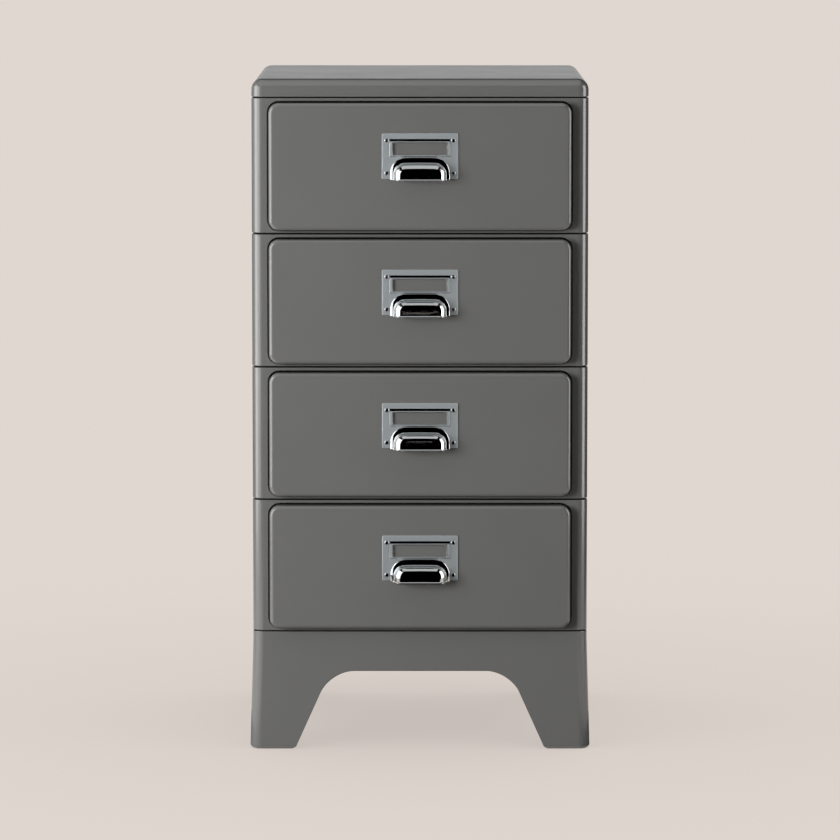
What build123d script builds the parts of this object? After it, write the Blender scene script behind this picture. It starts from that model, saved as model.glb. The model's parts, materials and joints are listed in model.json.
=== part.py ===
from build123d import *
import os
from math import atan2, cos, degrees, radians, sin, sqrt, tan

# Small steel drawer cabinet with four drawers, on a flared base with an arch in each side.
#
# Four sheet-steel tiers stand on each other with a thin panel in each joint, which leaves a shadow line all round.
# Each tier has a framed opening for one drawer. The drawer has a pressed front that stands proud of the frame, a
# liner behind it, a folded tray, and a pair of rails that run in channels on nylon glides. A card-holder cup pull is
# screwed to the front. Millimetres, +Z up, the drawers face -Y, and the origin is on the floor under the centre of
# the whole cabinet's box.

# ---------------------------------------------------------------------------------------------- driving sizes
# Stack, from the floor up. Tiers and drawers are numbered from the top.
tier_count = 4
base_height = 128.4  # floor to the middle of the lowest joint
tier_height = 143.0  # joint to joint
top_tier_extra = 2.5  # the top tier is this much taller than the others
cap_height = 19.5
panel_sheet = 1.0  # panel in each joint, and so the width of the shadow line
panel_inset = 2.5  # how far the panels stay back from the cabinet's outside

# Body
body_width = 360.0
body_depth = 380.0
corner_radius = 12.0  # upright corners, in plan
cap_round = 11.5  # top edges of the cap
body_sheet = 1.0
joint_flange = 14.0  # turned in along the top and bottom of each tier
back_sheet = 1.0
back_flange = 12.0  # left standing round the rear opening of each tier
back_lap = 9.0  # how far the back panel laps that flange

# Drawer opening
stile_width = 16.9  # cabinet side to opening
rail_top = 4.0  # upper joint to opening
rail_bottom = 2.7  # lower joint to opening
frame_sheet = 1.0
frame_flange = 3.6
collar_depth = 14.0

# Drawer front
side_gap = 1.6
top_gap = 1.7
bottom_gap = 1.2
front_proud = 12.0  # front face to the frame's face
front_inset = 8.0  # how far the front reaches behind the frame's face
front_corner = 11.0
front_round = 4.5
front_sheet = 1.0
liner_sheet = 1.0
liner_rim = 7.0
liner_fit = 0.2

# Drawer tray
tray_side_space = 15.1  # opening to tray, each side
tray_rise = 12.0  # joint to the tray's underside
tray_height = 108.0
tray_sheet = 0.8
tray_hem = 7.0
tray_flange = 8.0

# Runners
running_gap = 0.3
rail_sheet = 1.2
rail_reach = 10.0
rail_upstand = 16.0
runner_rise = 30.0  # joint to the runner's underside
runner_sheet = 1.2
runner_side_gap = 1.0
runner_end_gap = 0.5
glide_sheet = 1.5
glide_length = 30.0
glide_setback = 2.0
post_width = 24.0
post_sheet = 1.2
post_end_gap = 0.4
buffer_length = 10.0
buffer_width = 20.0
buffer_height = 12.0

# Card-holder cup pull
plate_width = 81.0
plate_height = 48.4
plate_sheet = 1.2
plate_corner = 0.9
pull_drop = 32.0  # top of the drawer front to the top of the plate
card_width = 65.2
card_height = 19.7
card_drop = 5.5
card_raise = 1.6
card_wall = 1.0
card_edge = 0.8
window_width = 57.6
window_height = 12.8
window_drop = 10.0
hood_width = 65.2
hood_drop = 25.0
hood_overhang = 0.8  # how far the hood's lip hangs below the plate
hood_depth = 18.0
hood_shoulder = 17.0
hood_crown = 1.2
crown_width = 14.0
hood_round = 12.0
hood_wall = 1.6
screw_spacing_x = 71.2
screw_spacing_z = 34.8
screw_drop = 7.5
screw_head_radius = 2.4
screw_head_height = 1.3
screw_radius = 1.5
screw_length = 6.0
screw_hole_play = 0.1

# Base
base_sheet = 1.5
base_flare = 3.5  # how far each side leans out at the floor
flare_band = 9.0  # upright band between the joint and the lean
foot_round = 4.5
leg_width = 48.4
arch_height = 84.8
arch_lean = 24.3  # degrees from upright
arch_radius = 39.4
arch_foot_cut = 3.0  # corner cut off each foot beside the arch
arch_lip = 9.0

# Round edges are drawn with this many flats across a quarter turn, and round screws with this many sides.
edge_flats = 3
screw_sides = 6

# ---------------------------------------------------------------------------------------------- places
face_y = -(body_depth + base_flare - front_proud - hood_depth) / 2  # face of the drawer frames
back_y = face_y + body_depth
mid_y = face_y + body_depth / 2
drawer_face_y = face_y - front_proud
liner_back_y = face_y + front_inset
top_joint = base_height + tier_count * tier_height + top_tier_extra

opening_width = body_width - 2 * stile_width
opening_radius = front_corner + side_gap
front_width = opening_width - 2 * side_gap
tray_width = opening_width - 2 * tray_side_space
tray_back_y = back_y - body_sheet - back_sheet - buffer_length - running_gap
tray_length = tray_back_y - liner_back_y

# Runner section, from the tray's side outwards.
tray_side = tray_width / 2
rail_tip = tray_side + rail_reach
runner_tip = tray_side + rail_sheet + runner_side_gap
web_inner = rail_tip + glide_sheet + running_gap
web_outer = web_inner + runner_sheet
wall_inner = body_width / 2 - body_sheet
runner_front_y = face_y + body_sheet + collar_depth + runner_end_gap
runner_back_y = back_y - body_sheet - back_sheet - glide_setback
rear_glide_front_y = tray_back_y - glide_setback - glide_length
drawer_travel = rear_glide_front_y - (runner_front_y + glide_length)  # the shoes then meet the pads

tiers = range(1, tier_count + 1)


def joint_below(tier):
    """Height of the middle of the joint under a tier."""
    return base_height + (tier_count - tier) * tier_height


def joint_above(tier):
    """Height of the middle of the joint over a tier."""
    return top_joint if tier == 1 else joint_below(tier) + tier_height


def opening_height(tier):
    return joint_above(tier) - joint_below(tier) - rail_top - rail_bottom


def opening_middle(tier):
    return joint_below(tier) + rail_bottom + opening_height(tier) / 2


def front_height(tier):
    return opening_height(tier) - top_gap - bottom_gap


def front_top(tier):
    return joint_above(tier) - rail_top - top_gap


def rail_height(tier):
    """Underside of the drawer rail's leg, which rests on the front glide."""
    return joint_below(tier) + runner_rise + runner_sheet + glide_sheet + running_gap


def facing(y):
    """Upright plane at depth y that looks forward, with its own axes along X and Z."""
    return Plane.XZ.offset(-y)


def plan(inset=0.0):
    """The cabinet's outline seen from above, pulled in by inset."""
    with BuildSketch() as outline:
        with Locations((0, mid_y)):
            RectangleRounded(body_width - 2 * inset, body_depth - 2 * inset, corner_radius - inset)
    return outline.sketch


def cut_corners(width, height, cut):
    """Rectangle whose corners are cut off at 45 degrees, as on a folded sheet."""
    with BuildSketch() as outline:
        Rectangle(width, height)
        chamfer(outline.vertices(), cut)
    return outline.sketch


def plan_cut(inset):
    """The same outline with its round corners drawn as flats, for what lies hidden inside."""
    with BuildSketch() as outline:
        with Locations((0, mid_y)):
            add(cut_corners(body_width - 2 * inset, body_depth - 2 * inset, corner_radius - inset))
    return outline.sketch


def around(radius):
    """Corner cut that just stays outside a round corner of this radius."""
    return (2 - sqrt(2)) * radius


def stack(section, plane, levels):
    """Solid through a section drawn at several heights over a plane, each pulled in by its own inset."""
    with BuildPart() as block:
        for (low, inset), (high, next_inset) in zip(levels, levels[1:]):
            with BuildSketch(plane.offset(low)):
                add(section(inset))
            extrude(amount=high - low, taper=degrees(atan2(next_inset - inset, high - low)))
    return block.part


def rounded_levels(height, radius, flats):
    """Levels of a block whose far edge is rounded off in a few flats."""
    turns = [radians(90 * step / flats) for step in range(flats + 1)]
    return [(0, 0)] + [(height - radius * (1 - sin(turn)), radius * (1 - cos(turn))) for turn in turns]


# ---------------------------------------------------------------------------------------------- cabinet body
def make_top_cap():
    """Pressed lid with rounded top edges and a flange turned in along its foot."""
    low = top_joint + panel_sheet / 2
    height = cap_height - panel_sheet / 2
    with BuildPart() as hollow:
        with BuildSketch(Plane.XY.offset(low + body_sheet)):
            add(plan_cut(body_sheet))
        extrude(amount=height - 2 * body_sheet)
        chamfer(hollow.faces().sort_by(Axis.Z)[-1].edges(), cap_round)
    with BuildPart() as cap:
        add(stack(plan, Plane.XY.offset(low), rounded_levels(height, cap_round, edge_flats)))
        add(hollow.part, mode=Mode.SUBTRACT)
        with BuildSketch(Plane.XY.offset(low)):
            add(flange_hole())
        extrude(amount=body_sheet, mode=Mode.SUBTRACT)
    return cap.part


def flange_hole():
    """Hole that the turned-in flanges of the tiers, the cap and the base leave."""
    with BuildSketch() as hole:
        with Locations((0, mid_y)):
            Rectangle(body_width - 2 * joint_flange, body_depth - 2 * joint_flange)
    return hole.sketch


def make_joint_panel(height):
    """Flat panel in one joint, a little smaller than the cabinet."""
    with BuildPart() as panel:
        with BuildSketch(Plane.XY.offset(height - panel_sheet / 2)):
            add(plan_cut(panel_inset))
        extrude(amount=panel_sheet)
    return panel.part


def make_tier_shell(tier):
    """Wrapped outer sheet of one tier, with the drawer opening in front and an opening behind."""
    low = joint_below(tier) + panel_sheet / 2
    height = joint_above(tier) - joint_below(tier) - panel_sheet
    with BuildPart() as shell:
        with BuildSketch(Plane.XY.offset(low)):
            add(plan())
        extrude(amount=height)
        with BuildSketch(Plane.XY.offset(low + body_sheet)):
            add(plan_cut(body_sheet))
        extrude(amount=height - 2 * body_sheet, mode=Mode.SUBTRACT)
        with BuildSketch(Plane.XY.offset(low)):
            add(flange_hole())
        extrude(amount=height, mode=Mode.SUBTRACT)
        with BuildSketch(facing(face_y)):
            with Locations((0, opening_middle(tier))):
                RectangleRounded(opening_width, opening_height(tier), opening_radius)
        extrude(amount=-2 * body_sheet, mode=Mode.SUBTRACT)
        with BuildSketch(facing(back_y)):
            with Locations((0, low + height / 2)):
                Rectangle(body_width - 2 * (corner_radius + back_flange), height - 2 * back_flange)
        extrude(amount=2 * body_sheet, mode=Mode.SUBTRACT)
    return shell.part


def make_back_panel(tier):
    """Sheet that closes a tier's rear opening from inside."""
    height = joint_above(tier) - joint_below(tier) - panel_sheet
    with BuildPart() as panel:
        with BuildSketch(facing(back_y - body_sheet)):
            with Locations((0, joint_below(tier) + panel_sheet / 2 + height / 2)):
                Rectangle(
                    body_width - 2 * (corner_radius + back_flange - back_lap),
                    height - 2 * (back_flange - back_lap),
                )
        extrude(amount=back_sheet)
    return panel.part


def make_bay_frame(tier):
    """Collar round the drawer opening, with a flange on each side behind the shell's face."""
    width, height = opening_width, opening_height(tier)
    with BuildPart() as frame:
        with BuildSketch(facing(face_y + body_sheet)):
            with Locations((0, opening_middle(tier))):
                Rectangle(width + 2 * (frame_sheet + frame_flange), height - 2 * opening_radius)
        extrude(amount=-frame_sheet)
        with BuildSketch(facing(face_y + body_sheet)):
            with Locations((0, opening_middle(tier))):
                add(cut_corners(width + 2 * frame_sheet, height + 2 * frame_sheet, around(opening_radius)))
        extrude(amount=-collar_depth)
        with BuildSketch(facing(face_y + body_sheet)):
            with Locations((0, opening_middle(tier))):
                add(cut_corners(width, height, around(opening_radius)))
        extrude(amount=-collar_depth, mode=Mode.SUBTRACT)
    return frame.part


def make_runner_posts(tier):
    """Four upright channels that carry the runners off the tier's side walls."""
    low = joint_below(tier) + panel_sheet / 2 + body_sheet + post_end_gap
    high = joint_above(tier) - panel_sheet / 2 - body_sheet - post_end_gap
    depth = wall_inner - web_outer
    first_y = runner_front_y + post_width / 2
    last_y = back_y - corner_radius - post_end_gap - post_width / 2
    with BuildPart() as posts:
        with BuildSketch(Plane.XY.offset(low)):
            with Locations((web_outer + depth / 2, first_y), (web_outer + depth / 2, last_y)):
                Rectangle(depth, post_width)
            with Locations(
                (web_outer + post_sheet + depth / 2, first_y),
                (web_outer + post_sheet + depth / 2, last_y),
            ):
                Rectangle(depth, post_width - 2 * post_sheet, mode=Mode.SUBTRACT)
            mirror(about=Plane.YZ)
        extrude(amount=high - low)
    return posts.part


# ---------------------------------------------------------------------------------------------- runners
def make_case_runners(tier):
    """Pair of channels that open towards the drawer."""
    low = joint_below(tier) + runner_rise
    high = rail_height(tier) + rail_sheet + glide_sheet + running_gap + runner_sheet
    with BuildPart() as runners:
        with BuildSketch(facing(runner_front_y)):
            with Locations(((runner_tip + web_outer) / 2, (low + high) / 2)):
                Rectangle(web_outer - runner_tip, high - low)
            with Locations(((runner_tip + web_inner) / 2, (low + high) / 2)):
                Rectangle(web_inner - runner_tip, high - low - 2 * runner_sheet, mode=Mode.SUBTRACT)
            mirror(about=Plane.YZ)
        extrude(amount=-(runner_back_y - runner_front_y))
    return runners.part


def make_runner_glides(tier):
    """Nylon pad at the mouth of each runner, with a lip over the end of the channel."""
    low = joint_below(tier) + runner_rise
    with BuildPart() as glides:
        with BuildSketch(Plane.XY.offset(low + runner_sheet)):
            with Locations(((runner_tip + web_inner) / 2, runner_front_y + glide_length / 2)):
                Rectangle(web_inner - runner_tip, glide_length)
            mirror(about=Plane.YZ)
        extrude(amount=glide_sheet)
        with BuildSketch(facing(runner_front_y)):
            with Locations(((runner_tip + web_inner) / 2, low + (runner_sheet + glide_sheet) / 2)):
                Rectangle(web_inner - runner_tip, runner_sheet + glide_sheet)
            mirror(about=Plane.YZ)
        extrude(amount=glide_sheet)
    return glides.part


def make_drawer_rails(tier):
    """Pair of angle rails on the tray's sides, whose legs run in the channels."""
    low = rail_height(tier)
    front = liner_back_y + tray_sheet
    with BuildPart() as rails:
        with BuildSketch(facing(front)):
            with BuildLine():
                Polyline(
                    (tray_side, low),
                    (rail_tip, low),
                    (rail_tip, low + rail_sheet),
                    (tray_side + rail_sheet, low + rail_sheet),
                    (tray_side + rail_sheet, low + rail_upstand),
                    (tray_side, low + rail_upstand),
                    close=True,
                )
            make_face()
            mirror(about=Plane.YZ)
        extrude(amount=-(tray_back_y - front))
    return rails.part


def make_drawer_glides(tier):
    """Nylon shoe round the rear end of each rail's leg."""
    low = rail_height(tier) - glide_sheet
    high = rail_height(tier) + rail_sheet + glide_sheet
    with BuildPart() as glides:
        with BuildSketch(facing(rear_glide_front_y)):
            with Locations(((runner_tip + rail_tip + glide_sheet) / 2, (low + high) / 2)):
                Rectangle(rail_tip + glide_sheet - runner_tip, high - low)
            with Locations(((runner_tip + rail_tip) / 2, (low + high) / 2)):
                Rectangle(rail_tip - runner_tip, rail_sheet, mode=Mode.SUBTRACT)
            mirror(about=Plane.YZ)
        extrude(amount=-glide_length)
    return glides.part


def make_rear_buffers():
    """Two rubber blocks on each back panel, which stop the closed drawer."""
    inside = back_y - body_sheet - back_sheet
    with BuildPart() as buffers:
        with BuildSketch(facing(inside)):
            for tier in tiers:
                with Locations((0, joint_below(tier) + tray_rise + tray_height / 2)):
                    with GridLocations(tray_side, 0, 2, 1):
                        Rectangle(buffer_width, buffer_height)
        extrude(amount=buffer_length)
    return buffers.part


# ---------------------------------------------------------------------------------------------- drawer
def make_drawer_front(tier):
    """Pressed pan with rounded corners and edges, open behind, with holes for the pull's screws."""
    depth = front_proud + front_inset
    middle = (0, front_top(tier) - front_height(tier) / 2)

    def outline(inset):
        with BuildSketch() as panel:
            with Locations(middle):
                RectangleRounded(front_width - 2 * inset, front_height(tier) - 2 * inset, front_corner - inset)
        return panel.sketch

    with BuildPart() as hollow:
        with BuildSketch(facing(liner_back_y)):
            with Locations(middle):
                add(
                    cut_corners(
                        front_width - 2 * front_sheet, front_height(tier) - 2 * front_sheet, front_corner
                    )
                )
        extrude(amount=depth - front_sheet)
        chamfer(hollow.faces().sort_by(Axis.Y)[0].edges(), around(front_round))
    with BuildPart() as front:
        add(stack(outline, facing(liner_back_y), rounded_levels(depth, front_round, edge_flats)))
        add(hollow.part, mode=Mode.SUBTRACT)
        with BuildSketch(facing(drawer_face_y)):
            add(screw_places(tier, screw_radius + screw_hole_play))
        extrude(amount=-front_sheet, mode=Mode.SUBTRACT)
    return front.part


def make_front_liner(tier):
    """Inner skin of the drawer front, with a rim that sits in the pan. It is also the tray's front wall."""
    slack = 2 * (front_sheet + liner_fit)
    width, height = front_width - slack, front_height(tier) - slack
    middle = (0, front_top(tier) - front_height(tier) / 2)
    with BuildPart() as liner:
        with BuildSketch(facing(liner_back_y)):
            with Locations(middle):
                add(cut_corners(width, height, front_corner))
        extrude(amount=liner_sheet + liner_rim)
        with BuildSketch(facing(liner_back_y - liner_sheet)):
            with Locations(middle):
                add(cut_corners(width - 2 * liner_sheet, height - 2 * liner_sheet, front_corner))
        extrude(amount=liner_rim, mode=Mode.SUBTRACT)
    return liner.part


def make_drawer_tray(tier):
    """Folded tray with doubled top edges, flanged against the liner in front."""
    low = joint_below(tier) + tray_rise
    middle_y = (liner_back_y + tray_back_y) / 2
    inner_width = tray_width - 2 * tray_sheet
    with BuildPart() as tray:
        with BuildSketch(Plane.XY.offset(low)):
            with Locations((0, middle_y)):
                Rectangle(tray_width, tray_length)
            with Locations((0, liner_back_y + tray_sheet / 2)):
                Rectangle(tray_width + 2 * tray_flange, tray_sheet)
        extrude(amount=tray_height)
        with BuildSketch(Plane.XY.offset(low + tray_sheet)):
            with Locations((0, middle_y - tray_sheet / 2)):
                Rectangle(inner_width, tray_length - tray_sheet)
        extrude(amount=tray_height - tray_sheet, mode=Mode.SUBTRACT)
        with BuildSketch(Plane.XY.offset(low + tray_height - tray_hem)):
            with Locations((0, middle_y - tray_sheet / 2)):
                Rectangle(inner_width, tray_length - tray_sheet)
            with Locations((0, middle_y - tray_sheet)):
                Rectangle(inner_width - 2 * tray_sheet, tray_length - 2 * tray_sheet, mode=Mode.SUBTRACT)
        extrude(amount=tray_hem)
    return tray.part


# ---------------------------------------------------------------------------------------------- pull
def screw_places(tier, radius):
    """Sections of this radius at the four screw places of a tier's pull, on an upright plane."""
    with BuildSketch() as places:
        with Locations((0, front_top(tier) - pull_drop - screw_drop - screw_spacing_z / 2)):
            with GridLocations(screw_spacing_x, screw_spacing_z, 2, 2):
                RegularPolygon(radius, screw_sides)
    return places.sketch


def hood_block(tier, inset, foot):
    """Solid form of the hood down to height foot, pulled in by inset: its front, side and top views crossed."""
    top = front_top(tier) - pull_drop - hood_drop
    half = hood_width / 2 - inset
    depth = hood_depth - inset
    shoulder_z = top - inset - hood_crown
    with BuildPart() as block:
        with BuildSketch(facing(drawer_face_y)) as front_view:
            with BuildLine():
                Polyline(
                    (-half, foot),
                    (-half, shoulder_z),
                    (-crown_width / 2, top - inset),
                    (crown_width / 2, top - inset),
                    (half, shoulder_z),
                    (half, foot),
                    close=True,
                )
            make_face()
            fillet(front_view.vertices().group_by(Axis.X)[0].sort_by(Axis.Y)[-1], hood_shoulder - inset)
            fillet(front_view.vertices().group_by(Axis.X)[-1].sort_by(Axis.Y)[-1], hood_shoulder - inset)
        extrude(amount=depth)
        with BuildSketch(Plane.YZ) as side_view:
            with Locations((drawer_face_y, foot)):
                Rectangle(depth, top - inset - foot, align=(Align.MAX, Align.MIN))
            fillet(side_view.vertices().group_by(Axis.X)[0].sort_by(Axis.Y)[-1], hood_round - inset)
        extrude(amount=half, both=True, mode=Mode.INTERSECT)
        with BuildSketch(Plane.XY.offset(foot)) as top_view:
            with Locations((0, drawer_face_y)):
                Rectangle(2 * half, depth, align=(Align.CENTER, Align.MAX))
            fillet(top_view.vertices().group_by(Axis.Y)[0], hood_round - inset)
        extrude(amount=top - foot, mode=Mode.INTERSECT)
    return block.part


def make_pull(tier):
    """Plate with a raised card frame and a domed hood that is open below and behind."""
    top = front_top(tier) - pull_drop
    lip = top - plate_height - hood_overhang
    hollow = hood_block(tier, hood_wall, lip - hood_wall)
    with BuildPart() as pull:
        add(hood_block(tier, 0, lip))
        with BuildSketch(facing(drawer_face_y)):
            with Locations((0, top - plate_height / 2)):
                add(cut_corners(plate_width, plate_height, plate_corner))
        extrude(amount=plate_sheet)
        add(card_frame(tier))
        add(hollow, mode=Mode.SUBTRACT)
        with BuildSketch(facing(drawer_face_y)):
            with Locations((0, top - card_drop - card_height / 2)):
                Rectangle(card_width - 2 * card_wall, card_height - 2 * card_wall)
        extrude(amount=plate_sheet + card_raise - card_wall, mode=Mode.SUBTRACT)
        with BuildSketch(facing(drawer_face_y)):
            with Locations((0, top - window_drop - window_height / 2)):
                Rectangle(window_width, window_height)
            add(screw_places(tier, screw_radius + screw_hole_play))
        extrude(amount=plate_sheet + card_raise, mode=Mode.SUBTRACT)
    return pull.part


def card_frame(tier):
    """Raised block of the card frame, bevelled in front, before its pocket and window are cut."""
    middle = front_top(tier) - pull_drop - card_drop - card_height / 2
    with BuildPart() as block:
        with BuildSketch(facing(drawer_face_y)):
            with Locations((0, middle)):
                Rectangle(card_width, card_height)
        extrude(amount=plate_sheet + card_raise)
        chamfer(block.faces().sort_by(Axis.Y)[0].edges(), card_edge)
    return block.part


def make_pull_screws(tier):
    """Four screws whose heads sit on the plate."""
    with BuildPart() as screws:
        with BuildSketch(facing(drawer_face_y - plate_sheet)):
            add(screw_places(tier, screw_head_radius))
        extrude(amount=screw_head_height)
        with BuildSketch(facing(drawer_face_y - plate_sheet)):
            add(screw_places(tier, screw_radius))
        extrude(amount=-screw_length)
    return screws.part


# ---------------------------------------------------------------------------------------------- base
def skirt_spread(height):
    """How far the skirt stands out past the cabinet at a height: it leans below and is upright above."""
    return base_flare * max(0, 1 - height / (base_height - flare_band))


def skirt_hollow(low, high):
    """Space inside the skirt's sheet between two heights."""
    heights = (low, base_height - flare_band, high)
    return stack(plan_cut, Plane.XY, [(height, base_sheet - skirt_spread(height)) for height in heights])


def rounded_skirt_block(high):
    """Solid form of the base from the floor up, with its lower edge rounded off in a few flats."""
    turns = [radians(90 * step / edge_flats) for step in range(edge_flats + 1)]
    foot = [(foot_round * (1 - cos(turn)), foot_round * (1 - sin(turn))) for turn in turns]
    levels = [(height, inset - skirt_spread(height)) for height, inset in foot]
    levels += [(height, -skirt_spread(height)) for height in (base_height - flare_band, high)]
    return stack(plan, Plane.XY, levels)


def arch(length):
    """Front view of the gap between two legs of a side that is this long at the floor."""
    foot = length / 2 - leg_width
    crown = foot - arch_height * tan(radians(arch_lean))
    with BuildSketch() as gap:
        with BuildLine():
            Polyline(
                (-foot - arch_foot_cut, 0),
                (-foot + arch_foot_cut * tan(radians(arch_lean)), arch_foot_cut),
                (-crown, arch_height),
                (crown, arch_height),
                (foot - arch_foot_cut * tan(radians(arch_lean)), arch_foot_cut),
                (foot + arch_foot_cut, 0),
                close=True,
            )
        make_face()
        fillet(gap.vertices().sort_by(Axis.Y)[-2:], arch_radius)
    return gap.sketch


def arch_edge(length):
    """Strip as wide as the base's sheet round an arch, from which its turned-in lip is made."""
    with BuildSketch() as strip:
        add(arch(length))
        offset(amount=base_sheet, kind=Kind.INTERSECTION)
        add(arch(length), mode=Mode.SUBTRACT)
    return strip.sketch


def make_base():
    """Leaning skirt on four legs, with a lip turned in round each arch and feet closed by a flange."""
    top = base_height - panel_sheet / 2
    floor_width = body_width + 2 * base_flare
    floor_depth = body_depth + 2 * base_flare
    hollow = skirt_hollow(base_sheet, top - base_sheet)
    lip_reach = base_flare + arch_lip
    with BuildPart() as lips:
        with BuildSketch(facing(mid_y - floor_depth / 2), facing(mid_y + floor_depth / 2 - lip_reach)):
            add(arch_edge(floor_width))
        extrude(amount=-lip_reach)
        with BuildSketch(Plane.YZ.offset(-floor_width / 2), Plane.YZ.offset(floor_width / 2 - lip_reach)):
            with Locations((mid_y, 0)):
                add(arch_edge(floor_depth))
        extrude(amount=lip_reach)
        add(rounded_skirt_block(top), mode=Mode.INTERSECT)
    with BuildPart() as base:
        add(rounded_skirt_block(top))
        add(hollow, mode=Mode.SUBTRACT)
        with BuildSketch(Plane.XY):
            add(flange_hole())
        extrude(amount=top, mode=Mode.SUBTRACT)
        with BuildSketch(facing(mid_y)):
            add(arch(floor_width))
        extrude(amount=body_depth, both=True, mode=Mode.SUBTRACT)
        with BuildSketch(Plane.YZ):
            with Locations((mid_y, 0)):
                add(arch(floor_depth))
        extrude(amount=body_width, both=True, mode=Mode.SUBTRACT)
        add(lips.part)
    return base.part


# ---------------------------------------------------------------------------------------------- write the parts
def save(part, name):
    part.label = name
    export_step(part, f"parts/{name}.step")


os.makedirs("parts", exist_ok=True)
save(make_top_cap(), "top_cap")
save(make_joint_panel(top_joint), "top_panel")
save(make_joint_panel(base_height), "floor_panel")
save(make_base(), "base")
save(make_rear_buffers(), "rear_buffers")
save(Compound(children=[make_joint_panel(joint_below(tier)) for tier in tiers[:-1]]), "tier_dividers")

tier_parts = {
    "tier_shell": make_tier_shell,
    "back_panel": make_back_panel,
    "bay_frame": make_bay_frame,
    "runner_posts": make_runner_posts,
    "case_runners": make_case_runners,
    "runner_glides": make_runner_glides,
    "drawer_front": make_drawer_front,
    "front_liner": make_front_liner,
    "drawer_tray": make_drawer_tray,
    "drawer_rails": make_drawer_rails,
    "drawer_glides": make_drawer_glides,
    "pull": make_pull,
    "pull_screws": make_pull_screws,
}
for tier in tiers:
    for name, make in tier_parts.items():
        save(make(tier), f"{name}_{tier}")

print(f"drawer travel {drawer_travel:.2f} mm, drawer face at y {drawer_face_y:.2f} mm")
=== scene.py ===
import json
import logging
from collections.abc import Callable, Iterator
from contextlib import contextmanager
from dataclasses import dataclass, field
from enum import Enum
from math import cos, pi, radians, sin, tan

import bmesh
import bpy
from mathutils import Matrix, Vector


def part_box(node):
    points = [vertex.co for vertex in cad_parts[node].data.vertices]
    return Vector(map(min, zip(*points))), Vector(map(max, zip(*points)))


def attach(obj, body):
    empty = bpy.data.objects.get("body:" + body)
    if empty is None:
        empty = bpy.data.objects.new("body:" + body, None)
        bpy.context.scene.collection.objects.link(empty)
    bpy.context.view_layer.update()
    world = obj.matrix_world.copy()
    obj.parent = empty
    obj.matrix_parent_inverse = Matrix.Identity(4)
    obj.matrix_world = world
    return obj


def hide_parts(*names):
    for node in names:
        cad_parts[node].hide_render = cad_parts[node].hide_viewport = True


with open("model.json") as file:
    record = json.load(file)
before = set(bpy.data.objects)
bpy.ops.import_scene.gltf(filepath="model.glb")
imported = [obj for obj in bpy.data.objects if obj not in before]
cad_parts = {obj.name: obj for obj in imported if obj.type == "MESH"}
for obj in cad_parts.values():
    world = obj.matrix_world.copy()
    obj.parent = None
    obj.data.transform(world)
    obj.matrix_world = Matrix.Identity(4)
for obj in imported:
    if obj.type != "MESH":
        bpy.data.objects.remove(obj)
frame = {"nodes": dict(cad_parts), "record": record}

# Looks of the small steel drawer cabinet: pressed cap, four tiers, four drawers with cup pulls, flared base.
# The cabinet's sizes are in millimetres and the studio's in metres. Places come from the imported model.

Piece, Edge = bpy.types.Object, bmesh.types.BMEdge
Tree, Node, Socket = bpy.types.NodeTree, bpy.types.Node, bpy.types.NodeSocket
Test = Callable[..., bool]
Pair, Triple = tuple[float, float], tuple[float, float, float]

log = logging.getLogger("cabinet")

MM = 0.001
NEAR = 2e-5  # places closer than this, in metres, count as one
SAME, DIGITS = 1e-6, 7  # the same for points of one column, and the decimals that tell columns apart
STRAIGHT = 0.999  # share of an edge's length along an axis, over which it is parallel to it
SQUARE, NEARLY = 0.99, 0.98  # shares of a normal along an axis, over which a face is square or nearly so to it
SLOPING, ASIDE = 0.9, 0.1  # the same, under which a face slopes, or runs along the axis
STRIP = 8  # the faces of a bend have at most this many corners
TIERS = (1, 2, 3, 4)
WIDE, FINE = 12, 3  # flats in a quarter turn of a wide bend and of a slight one
PAST = 5.0  # how far a cutter goes past what it cuts, in millimetres
FIRST, SECOND, RESULT = 6, 7, 2  # colour sockets of the mix node


class Pick(Enum):
    """What kind of mesh element an edit selects."""

    VERT = "VERT"
    EDGE = "EDGE"
    FACE = "FACE"


class Axis(Enum):
    """Axes of the row frame."""

    X = 0
    Y = 1
    Z = 2


class Slot(Enum):
    """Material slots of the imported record."""

    ENAMEL = "enamel"
    SEAM = "seam_steel"
    ZINC = "zinc_steel"
    NYLON = "nylon"
    RUBBER = "rubber"
    PULL = "pull_chrome"
    SCREW = "screw_chrome"


# ---- finishes
def linear(code: str) -> tuple[float, float, float, float]:
    """Turns an sRGB hex colour into linear values.

    Args:
        code: six hex digits, such as "69696a".

    Returns:
        Red, green, blue and an alpha of one.
    """
    shares = [int(code[i : i + 2], 16) / 255 for i in (0, 2, 4)]
    red, green, blue = (s / 12.92 if s <= 0.04045 else ((s + 0.055) / 1.055) ** 2.4 for s in shares)
    return red, green, blue, 1.0


def add_node(tree: Tree, kind: str, settings: dict | None = None, links: dict | None = None) -> Node:
    """Adds one shader node.

    Args:
        tree: node tree that gets it.
        kind: Blender's name of the node type.
        settings: attributes of the node, or values of its inputs by name or number.
        links: output sockets to join to its inputs, by input name or number.

    Returns:
        The new node.
    """
    node = tree.nodes.new(kind)
    for name, value in (settings or {}).items():
        if isinstance(name, str) and hasattr(node, name):
            setattr(node, name, value)
        else:
            node.inputs[name].default_value = value
    for name, socket in (links or {}).items():
        tree.links.new(socket, node.inputs[name])
    return node


def new_material(name: str) -> bpy.types.Material:
    """Makes a material that has no nodes yet.

    Args:
        name: the material's name.

    Returns:
        The material.
    """
    material = bpy.data.materials.new(name)
    material.use_nodes = True
    material.node_tree.nodes.clear()
    return material


def per_metre(size: float) -> float:
    """Scale of a pattern whose features are so many millimetres across."""
    return 1 / (size * MM)


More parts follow.
